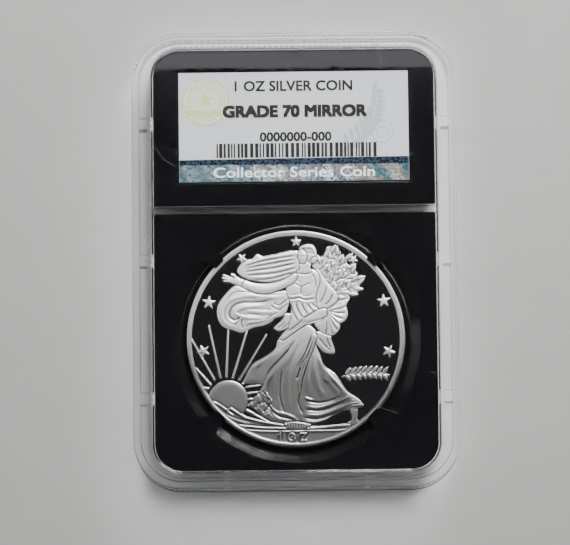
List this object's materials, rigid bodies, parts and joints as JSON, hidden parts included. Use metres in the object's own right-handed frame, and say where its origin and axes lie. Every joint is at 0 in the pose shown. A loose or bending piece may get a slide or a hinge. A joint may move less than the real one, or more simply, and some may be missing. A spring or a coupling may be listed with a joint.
{
  "type": "graded coin slab",
  "caption": "Sealed clear coin holder: two welded shells with a ribbed rim and stacking ridge, a black core with prongs holding a large silver coin, and a framed label.",
  "frame": {"origin": "middle of the slab's outline, on the plane that its rear foot rests on", "axes": "+Z out through the front window, +Y towards the label end, +X to the right seen from the front"},
  "size_m": [0.0604, 0.0856, 0.008],
  "materials": {
    "clear_shell": "clear moulded polystyrene, polished, with fine scratches",
    "black_insert": "black moulded insert, satin to gloss",
    "silver": "proof silver, mirror fields and frosted relief",
    "label_card": "printed pale grey card with a fine tint pattern",
    "label_foil": "patterned security foil"
  },
  "bodies": {
    "root": {"front_shell": "clear_shell", "rear_shell": "clear_shell", "coin_core": "black_insert", "label_frame": "black_insert", "coin": "silver", "front_label": "label_card", "label_foil": "label_foil", "rear_label": "label_card", "foil_disc": "label_foil"}
  },
  "joints": []
}
